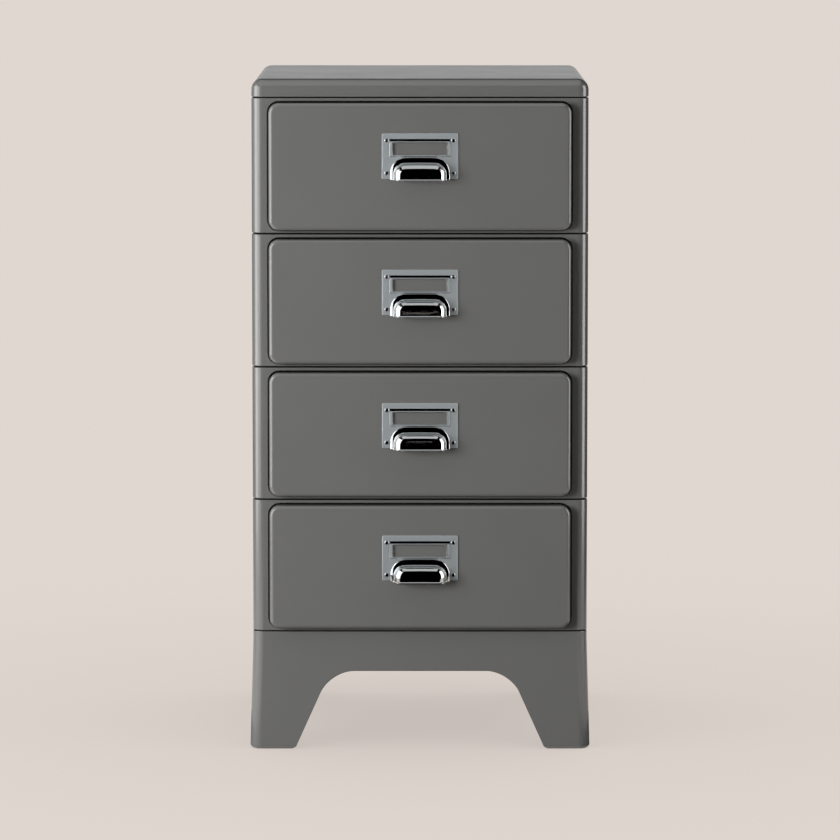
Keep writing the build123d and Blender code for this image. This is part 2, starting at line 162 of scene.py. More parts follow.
@dataclass(frozen=True)
class Finish:
    """A surface finish, with values that are the same all over it."""

    name: str
    colour: str
    metallic: float
    roughness: float

    def values(self) -> dict[str, object]:
        """Values that are the same all over."""
        return {"Base Color": linear(self.colour), "Metallic": self.metallic, "Roughness": self.roughness}

    def blend(self, other: str) -> dict[str | int, object]:
        """Settings that mix this finish's colour with another, in hex."""
        return {"data_type": "RGBA", FIRST: linear(self.colour), SECOND: linear(other)}

    def spread(self, swing: Pair) -> dict[str, float]:
        """Settings that vary the roughness so far below and above its own value."""
        return {"To Min": self.roughness - swing[0], "To Max": self.roughness + swing[1]}

    def pattern(self, tree: Tree, place: Socket) -> dict[str, Socket]:
        """Sockets for what varies over the surface; a plain finish has none."""
        return {}

    def make(self) -> bpy.types.Material:
        """Makes the material.

        Returns:
            The material, with its shader and this finish's own pattern.
        """
        material = new_material(self.name)
        tree = material.node_tree
        place = add_node(tree, "ShaderNodeTexCoord").outputs["Object"]
        shader = add_node(tree, "ShaderNodeBsdfPrincipled", self.values(), self.pattern(tree, place))
        add_node(tree, "ShaderNodeOutputMaterial", links={"Surface": shader.outputs["BSDF"]})
        return material


@dataclass(frozen=True)
class StovedEnamel(Finish):
    """Grey stoved enamel, sprayed on pressed steel and baked.

    It gives the eye an even satin grey, with broad soft highlights on the bends and a faint orange peel.
    """

    cloud: float = 90.0
    cloud_detail: float = 3.0
    clouded: str = "5b5b5a"
    peel: float = 3.0  # real peel is about 1 mm across; drawn wider so that it shows
    peel_depth: float = 0.008
    peel_strength: float = 0.12
    index: float = 1.8  # high, because a baked gloss coat mirrors more than plain paint
    swing: Pair = (0.03, 0.03)

    def values(self) -> dict[str, object]:
        """Values that are the same all over, with the coat's own index of refraction."""
        return {**super().values(), "IOR": self.index}

    def pattern(self, tree: Tree, place: Socket) -> dict[str, Socket]:
        """Faint clouding of the coat, its peel, and a little change in gloss.

        Args:
            tree: the material's nodes.
            place: each point's place on the piece.

        Returns:
            Sockets for the shader's inputs, by name.
        """
        look = {"Scale": per_metre(self.cloud), "Detail": self.cloud_detail}
        cloud = add_node(tree, "ShaderNodeTexNoise", look, {"Vector": place}).outputs["Fac"]
        tint = add_node(tree, "ShaderNodeMix", self.blend(self.clouded), {0: cloud})
        gloss = add_node(tree, "ShaderNodeMapRange", self.spread(self.swing), {"Value": cloud})
        peel = add_node(tree, "ShaderNodeTexNoise", {"Scale": per_metre(self.peel)}, {"Vector": place})
        depth = {"Strength": self.peel_strength, "Distance": self.peel_depth * MM}
        relief = add_node(tree, "ShaderNodeBump", depth, {"Height": peel.outputs["Fac"]})
        bump = relief.outputs["Normal"]
        return {"Base Color": tint.outputs[RESULT], "Roughness": gloss.outputs[0], "Normal": bump}


@dataclass(frozen=True)
class ZincPlate(Finish):
    """Cold-rolled steel with a thin zinc coat, as runners have.

    It gives the eye a pale bluish metal with a fine rolled grain along each strip.
    """

    grain: float = 1.2
    draw: Triple = (1.0, 0.04, 1.0)  # draws the grain out along the runners
    bloom: float = 25.0
    bloomed: str = "a9adb0"
    swing: Pair = (0.08, 0.12)

    def pattern(self, tree: Tree, place: Socket) -> dict[str, Socket]:
        """Grain drawn out along the runners, and a slight bloom.

        Args:
            tree: the material's nodes.
            place: each point's place on the piece.

        Returns:
            Sockets for the shader's inputs, by name.
        """
        drawn = add_node(tree, "ShaderNodeMapping", {"Scale": self.draw}, {"Vector": place}).outputs[0]
        grain = add_node(tree, "ShaderNodeTexNoise", {"Scale": per_metre(self.grain)}, {"Vector": drawn})
        gloss = add_node(tree, "ShaderNodeMapRange", self.spread(self.swing), {"Value": grain.outputs["Fac"]})
        bloom = add_node(tree, "ShaderNodeTexNoise", {"Scale": per_metre(self.bloom)}, {"Vector": place})
        tint = add_node(tree, "ShaderNodeMix", self.blend(self.bloomed), {0: bloom.outputs["Fac"]})
        return {"Base Color": tint.outputs[RESULT], "Roughness": gloss.outputs[0]}


@dataclass(frozen=True)
class Moulding(Finish):
    """Moulded polymer: nylon pads and shoes, and rubber buffers.

    It gives the eye a dull, even skin with a very fine spark-eroded grain.
    """

    other: str = "c9c5ba"
    tone: float = 12.0
    grain: float = 0.8
    grain_depth: float = 0.03
    grain_strength: float = 0.4

    def pattern(self, tree: Tree, place: Socket) -> dict[str, Socket]:
        """Fine grain and a slight change in tone.

        Args:
            tree: the material's nodes.
            place: each point's place on the piece.

        Returns:
            Sockets for the shader's inputs, by name.
        """
        tone = add_node(tree, "ShaderNodeTexNoise", {"Scale": per_metre(self.tone)}, {"Vector": place})
        tint = add_node(tree, "ShaderNodeMix", self.blend(self.other), {0: tone.outputs["Fac"]})
        grain = add_node(tree, "ShaderNodeTexNoise", {"Scale": per_metre(self.grain)}, {"Vector": place})
        depth = {"Strength": self.grain_strength, "Distance": self.grain_depth * MM}
        relief = add_node(tree, "ShaderNodeBump", depth, {"Height": grain.outputs["Fac"]})
        return {"Base Color": tint.outputs[RESULT], "Normal": relief.outputs[0]}


@dataclass(frozen=True)
class ShadeBlackSteel(Finish):
    """Steel sheet coloured near black as painted shade, so that the joints between the tiers read as deep dark
    gaps.

    It gives the eye only the dark lines in the joints.
    """

    cloud: float = 30.0
    clouded: str = "060606"

    def pattern(self, tree: Tree, place: Socket) -> dict[str, Socket]:
        """Slight cloud in the painted shade black.

        Args:
            tree: the material's nodes.
            place: each point's place on the piece.

        Returns:
            Sockets for the shader's inputs, by name.
        """
        cloud = add_node(tree, "ShaderNodeTexNoise", {"Scale": per_metre(self.cloud)}, {"Vector": place})
        tint = add_node(tree, "ShaderNodeMix", self.blend(self.clouded), {0: cloud.outputs["Fac"]})
        return {"Base Color": tint.outputs[RESULT]}


@dataclass(frozen=True)
class Chrome(Finish):
    """Bright chrome plating on pressed steel.

    Polished, it gives the eye hard white bands of the lamps between black. Satin, it is a light even grey
    with a fine brushed grain.
    """

    grain: float = 0.0  # width of the brush lines in millimetres; none on a polished face
    draw: Triple = (1.0, 1.0, 0.05)  # draws the brush lines out upright
    line_depth: float = 0.01
    line_strength: float = 0.15
    satin_swing: Pair = (0.05, 0.06)
    haze: float = 4.0
    haze_swing: Pair = (0.015, 0.025)

    def pattern(self, tree: Tree, place: Socket) -> dict[str, Socket]:
        """Brush lines on a satin face, or faint polishing haze on a bright one.

        Args:
            tree: the material's nodes.
            place: each point's place on the piece.

        Returns:
            Sockets for the shader's inputs, by name.
        """
        if not self.grain:
            haze = add_node(tree, "ShaderNodeTexNoise", {"Scale": per_metre(self.haze)}, {"Vector": place})
            swing = self.spread(self.haze_swing)
            gloss = add_node(tree, "ShaderNodeMapRange", swing, {"Value": haze.outputs["Fac"]})
            return {"Roughness": gloss.outputs[0]}
        drawn = add_node(tree, "ShaderNodeMapping", {"Scale": self.draw}, {"Vector": place}).outputs[0]
        lines = add_node(tree, "ShaderNodeTexNoise", {"Scale": per_metre(self.grain)}, {"Vector": drawn})
        swing = self.spread(self.satin_swing)
        gloss = add_node(tree, "ShaderNodeMapRange", swing, {"Value": lines.outputs["Fac"]})
        depth = {"Strength": self.line_strength, "Distance": self.line_depth * MM}
        relief = add_node(tree, "ShaderNodeBump", depth, {"Height": lines.outputs["Fac"]})
        return {"Roughness": gloss.outputs[0], "Normal": relief.outputs[0]}


FINISHES: dict[Slot, Finish] = {
    Slot.ENAMEL: StovedEnamel("stoved_enamel", "5f5f5e", 0.0, 0.18),
    # near-black sheet in the joints between the tiers: painted shade
    Slot.SEAM: ShadeBlackSteel("painted_shade_steel", "090909", 0.0, 0.8),
    Slot.ZINC: ZincPlate("zinc_plated_steel", "b9bdc0", 1.0, 0.38),
    Slot.NYLON: Moulding("natural_nylon", "d9d5c9", 0.0, 0.5),
    Slot.RUBBER: Moulding("black_rubber", "1c1c1c", 0.0, 0.75, "242424"),
    Slot.PULL: Chrome("polished_chrome", "d5d8d9", 1.0, 0.06),
    Slot.SCREW: Chrome("bright_chrome_screws", "d8dadb", 1.0, 0.12),
}
SATIN_PLATE = Chrome("satin_chrome_plate", "e4ecf0", 0.87, 0.52, 1.0)


@dataclass
class Paintbox:
    """Every material, made once."""

    made: dict[str, bpy.types.Material] = field(default_factory=dict)

    def get(self, finish: Finish) -> bpy.types.Material:
        """Finds the material of a finish, and makes it at first use.

        Args:
            finish: the finish.

        Returns:
            Its material.
        """
        if finish.name not in self.made:
            self.made[finish.name] = finish.make()
        return self.made[finish.name]

    def coat(self, piece: Piece, slot: Slot, *others: Finish) -> None:
        """Gives a piece its finish.

        Args:
            piece: the object.
            slot: the record's slot, whose finish comes first.
            others: further finishes, for faces that name them by number.
        """
        piece.data.materials.clear()
        for finish in (FINISHES[slot], *others):
            piece.data.materials.append(self.get(finish))


# ---- bench tools
def drop_selection() -> None:
    """Deselects every object, because an operator acts on all that is selected."""
    for piece in list(bpy.context.selected_objects):
        piece.select_set(False)
    bpy.context.view_layer.objects.active = None


def take(piece: Piece) -> None:
    """Selects just this object and makes it the active one.

    Args:
        piece: the object.
    """
    drop_selection()
    piece.select_set(True)
    bpy.context.view_layer.objects.active = piece


@contextmanager
def picked(piece: Piece, kind: Pick, test: Test) -> Iterator[bmesh.types.BMesh]:
    """Edit mode with just the elements selected that pass a test.

    Args:
        piece: the object to edit.
        kind: vertices, edges or faces.
        test: says of one element whether it is selected.

    Yields:
        The mesh that is edited.
    """
    take(piece)
    bpy.ops.object.mode_set(mode="EDIT")
    bpy.ops.mesh.select_mode(type=kind.value)
    bpy.ops.mesh.select_all(action="DESELECT")
    mesh = bmesh.from_edit_mesh(piece.data)
    for element in {Pick.VERT: mesh.verts, Pick.EDGE: mesh.edges, Pick.FACE: mesh.faces}[kind]:
        if test(element):
            element.select_set(True)
    mesh.select_flush_mode()
    bmesh.update_edit_mesh(piece.data)
    yield mesh
    bpy.ops.object.mode_set(mode="OBJECT")


def start_block(name: str, low: Vector, high: Vector) -> Piece:
    """Starts a piece as a block with its place in its mesh.

    Args:
        name: the object's name.
        low: lowest corner, in metres.
        high: highest corner, in metres.

    Returns:
        The block, at the origin, unturned and unscaled.
    """
    drop_selection()
    bpy.ops.mesh.primitive_cube_add(size=1, location=(low + high) / 2, scale=high - low)
    piece = bpy.context.active_object
    bpy.ops.object.transform_apply(location=True, rotation=True, scale=True)
    piece.name = piece.data.name = name
    return piece


def runs_along(edge: Edge, axis: Axis) -> bool:
    """Whether an edge is parallel to an axis and of some length."""
    step = edge.verts[1].co - edge.verts[0].co
    return step.length > NEAR and abs(step[axis.value]) > STRAIGHT * step.length


def lies_at(edge: Edge, axis: Axis, place: float) -> bool:
    """Whether both ends of an edge lie at one place on an axis."""
    return all(abs(vert.co[axis.value] - place) < NEAR for vert in edge.verts)


def along(axis: Axis) -> Test:
    """Test for edges that are parallel to an axis."""
    return lambda edge: runs_along(edge, axis)


def at(axis: Axis, *places: float) -> Test:
    """Test for edges that lie at one of several places on an axis."""
    return lambda edge: any(lies_at(edge, axis, place) for place in places)


def round_edges(piece: Piece, test: Test, radius: float, segments: int) -> None:
    """Rounds the edges that pass a test.

    Args:
        piece: the object.
        test: says of one edge whether it is rounded.
        radius: how far the rounding reaches, in millimetres.
        segments: its number of flats.
    """
    with picked(piece, Pick.EDGE, test):
        bpy.ops.mesh.bevel(
            offset=radius * MM, segments=segments, affect="EDGES", clamp_overlap=False, loop_slide=False
        )


def slice_at(piece: Piece, axis: Axis, place: float) -> None:
    """Adds edges where a plane meets a piece.

    Args:
        piece: the object.
        axis: axis that the plane stands across.
        place: where, in metres.
    """
    way = [float(axis is each) for each in Axis]
    with picked(piece, Pick.FACE, lambda face: True):
        bpy.ops.mesh.bisect(plane_co=[place * part for part in way], plane_no=way)


def remove_faces(piece: Piece, test: Test) -> None:
    """Removes the faces that pass a test."""
    with picked(piece, Pick.FACE, test):
        bpy.ops.mesh.delete(type="FACE")


def apply_modifier(piece: Piece, kind: str, **settings: object) -> None:
    """Adds a modifier, sets it and applies it.

    Args:
        piece: the object.
        kind: Blender's name of the modifier type.
        settings: its attributes.
    """
    take(piece)
    modifier = piece.modifiers.new(kind.lower(), kind)
    for name, value in settings.items():
        setattr(modifier, name, value)
    bpy.ops.object.modifier_apply(modifier=modifier.name)


def fold_sheet(piece: Piece, thickness: float) -> None:
    """Gives an outer skin its sheet thickness, inwards, in millimetres."""
    apply_modifier(piece, "SOLIDIFY", thickness=thickness * MM, offset=-1.0, use_even_offset=True)


def cut_away(piece: Piece, *cutters: Piece) -> None:
    """Cuts blocks out of a piece, and removes the blocks.

    Args:
        piece: the object.
        cutters: the blocks.
    """
    for cutter in cutters:
        apply_modifier(piece, "BOOLEAN", operation="DIFFERENCE", object=cutter, solver="EXACT")
        bpy.data.objects.remove(cutter)


def smooth(piece: Piece, angle: float = 32.0, flats: bool = True) -> None:
    """Smooths the bends, so that reflections run cleanly over them.

    Args:
        piece: the object.
        angle: steepest bend that is still smoothed, in degrees.
        flats: whether the piece has flats, which then stay flat.
    """
    take(piece)
    bpy.ops.object.shade_smooth_by_angle(angle=radians(angle))
    if flats:
        apply_modifier(piece, "WEIGHTED_NORMAL", mode="FACE_AREA", weight=50, keep_sharp=True)


def copy_piece(piece: Piece, name: str, shift: float) -> Piece:
    """Copies a piece with its own mesh.

    Args:
        piece: the object.
        name: the copy's name.
        shift: how far up it moves, in metres.

    Returns:
        The copy.
    """
    twin = piece.copy()
    twin.data = piece.data.copy()
    twin.name = twin.data.name = name
    bpy.context.scene.collection.objects.link(twin)
    with picked(twin, Pick.VERT, lambda vert: True):
        bpy.ops.transform.translate(value=(0, 0, shift))
    return twin


def join_pieces(pieces: list[Piece], name: str) -> Piece:
    """Joins several meshes into one piece.

    Args:
        pieces: the objects.
        name: the joined piece's name.

    Returns:
        The joined piece.
    """
    take(pieces[0])
    for piece in pieces[1:]:
        piece.select_set(True)
    bpy.ops.object.join()
    pieces[0].name = pieces[0].data.name = name
    return pieces[0]


def copy_to_tier(pattern: Piece, name: str, kind: str, tier: int) -> Piece:
    """Copies the lowest tier's piece to a tier, and makes it taller where that tier's solid is.

    Args:
        pattern: the piece of tier 4.
        name: the copy's name.
        kind: the solid's name, without its tier.
        tier: the tier that it goes to.

    Returns:
        The copy.
    """
    first_low, first_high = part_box(f"{kind}_{TIERS[-1]}")
    low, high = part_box(f"{kind}_{tier}")
    twin = copy_piece(pattern, name, low.z - first_low.z)
    extra = (high.z - low.z) - (first_high.z - first_low.z)
    if extra > NEAR:
        with picked(twin, Pick.VERT, lambda vert: vert.co.z > (low.z + high.z) / 2):
            bpy.ops.transform.translate(value=(0, 0, extra))
    return twin


# ---- cabinet body
@dataclass
class Cap:
    """Pressed lid with rounded top edges."""

    paint: Paintbox
    corner: float = 12.0
    round_top: float = 11.5
    foot_round: float = 0.7
    sheet: float = 1.0

    def build(self) -> Piece:
        """Makes the lid in the box of its solid.

        Returns:
            The lid, riding on the case.
        """
        low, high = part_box("top_cap")
        lid = start_block("pressed_cap", low, high)
        round_edges(lid, along(Axis.Z), self.corner, WIDE)
        round_edges(lid, at(Axis.Z, high.z), self.round_top, WIDE)
        round_edges(lid, at(Axis.Z, low.z), self.foot_round, FINE)
        remove_faces(lid, lambda f: f.normal.z < -SQUARE and len(f.verts) > STRIP)
        fold_sheet(lid, self.sheet)
        smooth(lid)
        self.paint.coat(lid, Slot.ENAMEL)
        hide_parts("top_cap")
        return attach(lid, "case")


@dataclass
class Tiered:
    """What each tier has one of: it is modelled for the lowest tier, and copied."""

    paint: Paintbox

    def model(self, tier: int) -> Piece:
        """Models one tier's piece, with its finish."""
        raise NotImplementedError

    def copies(self, title: str, kind: str) -> Iterator[tuple[int, Piece]]:
        """Models one piece, and copies it to every tier.

        Args:
            title: the pieces' name, without the tier.
            kind: the solids' name, without the tier.

        Yields:
            Each tier's number and piece.
        """
        pattern = self.model(TIERS[-1])
        for tier in TIERS:
            yield tier, copy_to_tier(pattern, f"{title}_{tier}", kind, tier)
        bpy.data.objects.remove(pattern)


@dataclass
class TierShells(Tiered):
    """Wrapped outer sheets of the four tiers, each with its drawer opening."""

    corner: float = 12.0
    edge_round: float = 0.7
    shadow_gap: float = 0.35  # the skin stops so far short of the joint's panel, whose near-black colour is painted shade, for the line to read as dark
    sheet: float = 1.0
    joint_flange: float = 14.0
    rear_flange: float = 12.0
    side_gap: float = 1.6
    top_gap: float = 1.7
    bottom_gap: float = 1.2
    opening_corner: float = 12.6
    cut_depth: float = 4.0
    lip_round: float = 0.7

    def opening(self, tier: int) -> Piece:
        """Makes the block that cuts a tier's drawer opening.

        Args:
            tier: the tier's number from the top.

        Returns:
            The block.
        """
        low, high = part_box(f"drawer_front_{tier}")
        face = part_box(f"tier_shell_{tier}")[0].y
        gap = Vector((self.side_gap * MM, 0, 0))
        start = Vector((low.x, face - PAST * MM, low.z - self.bottom_gap * MM)) - gap
        end = Vector((high.x, face + self.cut_depth * MM, high.z + self.top_gap * MM)) + gap
        block = start_block("opening", start, end)
        round_edges(block, along(Axis.Y), self.opening_corner, WIDE)
        return block

    def model(self, tier: int) -> Piece:
        """Models the shell of one tier.

        Args:
            tier: the tier's number from the top.

        Returns:
            The shell, with its edges rounded.
        """
        low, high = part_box(f"tier_shell_{tier}")
        low.z += self.shadow_gap * MM
        high.z -= self.shadow_gap * MM
        shell = start_block("shell", low, high)
        round_edges(shell, along(Axis.Z), self.corner, WIDE)
        round_edges(shell, at(Axis.Z, low.z, high.z), self.edge_round, FINE)
        fold_sheet(shell, self.sheet)
        rim = Vector((self.joint_flange, self.joint_flange, -PAST)) * MM
        well = start_block("well", low + rim, high - rim)
        side = (self.corner + self.rear_flange) * MM
        rise = self.rear_flange * MM
        rear = start_block(
            "rear",
            Vector((low.x + side, high.y - self.cut_depth * MM, low.z + rise)),
            Vector((high.x - side, high.y + PAST * MM, high.z - rise)),
        )
        cut_away(shell, well, rear, self.opening(tier))
        start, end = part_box(f"drawer_front_{tier}")
        reach = (self.side_gap + 1) * MM

        def on_lip(edge: Edge) -> bool:
            """Test for the face's edges round the opening.

            Args:
                edge: the edge.

            Returns:
                Whether it passes.
            """
            spots = [vert.co for vert in edge.verts]
            inside = all(abs(p.x) < end.x + reach and start.z - reach < p.z < end.z + reach for p in spots)
            turns = len({round(f.normal.y, 2) for f in edge.link_faces}) > 1
            return inside and turns and lies_at(edge, Axis.Y, low.y)

        round_edges(shell, on_lip, self.lip_round, FINE)
        smooth(shell)
        self.paint.coat(shell, Slot.ENAMEL)
        return shell

    def build(self) -> list[Piece]:
        """Makes the shell of every tier.

        Returns:
            The four shells, riding on the case.
        """
        made = []
        for tier, shell in self.copies("tier_skin", "tier_shell"):
            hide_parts(f"tier_shell_{tier}")
            made.append(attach(shell, "case"))
        return made


@dataclass
class FlaredBase:
    """Skirt that leans out to the floor, with an arch in each side and turned-in lips."""

    paint: Paintbox
    band: float = 9.0
    corner: float = 12.0
    foot_round: float = 4.5
    foot_arc: int = 8
    top_round: float = 0.8
    sheet: float = 1.5
    leg_width: float = 48.4
    arch_height: float = 84.8
    arch_lean: float = 24.3
    arch_radius: float = 39.4
    arch_arc: int = 16
    arch_past: float = 20.0
    foot_cut: float = 3.0
    lip_depth: float = 18.0  # cut back to the joint flange's width, so that lips and feet end level
    fold_round: float = 1.1
    fold_angle: float = 80.0
    joint_flange: float = 14.0

    def arch_cutter(self, axis: Axis, low: Vector, high: Vector) -> Piece:
        """Block with the arch's section, through the whole base along one axis.

        Args:
            axis: the way that it runs.
            low: the base's lowest corner.
            high: its highest corner.

        Returns:
            The block, whose faces carry the second material number.
        """
        across = Axis.Y if axis is Axis.X else Axis.X
        middle = (low[across.value] + high[across.value]) / 2
        foot = (high[across.value] - low[across.value]) / 2 - self.leg_width * MM
        drop = self.arch_past * MM
        start, end = Vector(low), Vector(high)
        start[axis.value] -= drop
        end[axis.value] += drop
        start[across.value], end[across.value] = middle - foot, middle + foot
        start.z, end.z = -drop, self.arch_height * MM
        block = start_block("arch", start, end)
        lean = tan(radians(self.arch_lean))
        crown = foot - self.arch_height * MM * lean
        with picked(block, Pick.VERT, lambda v: v.co.z > 0):
            size = [1.0, 1.0, 1.0]
            size[across.value] = crown / foot
            centre = [0.0, 0.0, 0.0]
            centre[across.value] = middle
            bpy.ops.transform.resize(value=size, center_override=centre)
        with picked(block, Pick.VERT, lambda v: v.co.z < 0):
            size[across.value] = (foot + drop * lean) / foot
            bpy.ops.transform.resize(value=size, center_override=centre)
        slice_at(block, Axis.Z, self.foot_cut * MM)
        with picked(block, Pick.VERT, lambda v: v.co.z < 0):
            cut = self.foot_cut * MM
            size[across.value] = (foot + cut + drop * (1 + lean)) / (foot + drop * lean)
            bpy.ops.transform.resize(value=size, center_override=centre)
        round_edges(
            block,
            lambda e: runs_along(e, axis) and lies_at(e, Axis.Z, self.arch_height * MM),
            self.arch_radius * tan(radians((90 - self.arch_lean) / 2)),
            self.arch_arc,
        )
        return block

    def build(self) -> Piece:
        """Makes the base in the box of its solid.

        Returns:
            The base, riding on the case.
        """
        low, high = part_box("base")
        body_low, body_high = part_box("tier_shell_4")
        start, end = Vector((*body_low.xy, low.z)), Vector((*body_high.xy, high.z))
        skirt = start_block("flared_base", start, end)
        round_edges(skirt, along(Axis.Z), self.corner, WIDE)
        slice_at(skirt, Axis.Z, high.z - self.band * MM)
        middle = (low + high) / 2
        with picked(skirt, Pick.VERT, lambda v: v.co.z < low.z + NEAR):
            spread = (
                (high.x - low.x) / (body_high.x - body_low.x),
                (high.y - low.y) / (body_high.y - body_low.y),
                1.0,
            )
            bpy.ops.transform.resize(value=spread, center_override=middle)
        round_edges(skirt, at(Axis.Z, low.z), self.foot_round, self.foot_arc)
        round_edges(skirt, at(Axis.Z, high.z), self.top_round, FINE)
        self.paint.coat(skirt, Slot.ENAMEL, FINISHES[Slot.SEAM])
        for axis in (Axis.Y, Axis.X):
            cutter = self.arch_cutter(axis, low, high)
            self.paint.coat(cutter, Slot.ENAMEL, FINISHES[Slot.SEAM])
            for face in cutter.data.polygons:
                face.material_index = 1
            cut_away(skirt, cutter)
        remove_faces(skirt, lambda f: f.material_index == 1)
        self.turn_lips(skirt)
        rim = Vector((self.joint_flange, self.joint_flange, -PAST)) * MM
        cut_away(skirt, start_block("well", start + rim, end - rim))
        smooth(skirt)
        self.paint.coat(skirt, Slot.ENAMEL)
        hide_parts("base")
        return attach(skirt, "case")

    def turn_lips(self, skirt: Piece) -> None:
        """Turns a lip in round each arch of the open outer skin, and gives the sheet its thickness.

        Args:
            skirt: the skin, which is open where the arches are.
        """
        ways = ((Axis.Y, -1), (Axis.Y, 1), (Axis.X, -1), (Axis.X, 1))
        for axis, sign in ways:

            def on_arch(edge: Edge) -> bool:
                """Test for the open edges of one side's arch.

                Args:
                    edge: the edge.

                Returns:
                    Whether it passes.
                """
                if not edge.is_boundary:
                    return False
                spot = (edge.verts[0].co + edge.verts[1].co) / 2
                normal = edge.link_faces[0].normal
                below = spot.z < self.arch_height * MM + NEAR
                return below and normal[axis.value] * sign > NEARLY

            with picked(skirt, Pick.EDGE, on_arch):
                inward = [0.0, 0.0, 0.0]
                inward[axis.value] = -sign * self.lip_depth * MM
                bpy.ops.mesh.extrude_region_move(TRANSFORM_OT_translate={"value": inward})
        with picked(skirt, Pick.FACE, lambda f: True):
            bpy.ops.mesh.normals_make_consistent(inside=False)

        def on_fold(edge: Edge) -> bool:
            """Test for the folds between the skin and its lips.

            Args:
                edge: the edge.

            Returns:
                Whether it passes.
            """
            heights = [vert.co.z for vert in edge.verts]
            if len(edge.link_faces) != 2 or max(heights) > self.arch_height * MM + NEAR:
                return False
            upright = any(max(abs(f.normal.x), abs(f.normal.y)) > SQUARE for f in edge.link_faces)
            steep = edge.calc_face_angle() > radians(self.fold_angle)
            return upright and steep and min(heights) > self.foot_round * MM

        round_edges(skirt, on_fold, self.fold_round, FINE)
        fold_sheet(skirt, self.sheet)


# ---- drawers
@dataclass
class DrawerFronts(Tiered):
    """Pressed pans that stand proud of the tiers."""

    corner: float = 11.0
    corner_arc: int = 14
    face_round: float = 4.5
    face_arc: int = 8
    sheet: float = 1.0

    def model(self, tier: int) -> Piece:
        """Models the front of one drawer.

        Args:
            tier: the drawer's number from the top.

        Returns:
            The front, open behind.
        """
        low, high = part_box(f"drawer_front_{tier}")
        pan = start_block("pan", low, high)
        round_edges(pan, along(Axis.Y), self.corner, self.corner_arc)
        round_edges(pan, at(Axis.Y, low.y), self.face_round, self.face_arc)
        remove_faces(pan, lambda f: f.normal.y > SQUARE)
        fold_sheet(pan, self.sheet)
        smooth(pan)
        self.paint.coat(pan, Slot.ENAMEL)
        return pan

    def build(self) -> list[Piece]:
        """Makes the front of every drawer.

        Returns:
            The four fronts, each riding on its drawer.
        """
        made = []
        for tier, pan in self.copies("drawer_pan", "drawer_front"):
            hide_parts(f"drawer_front_{tier}")
            made.append(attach(pan, f"drawer_{tier}"))
        return made


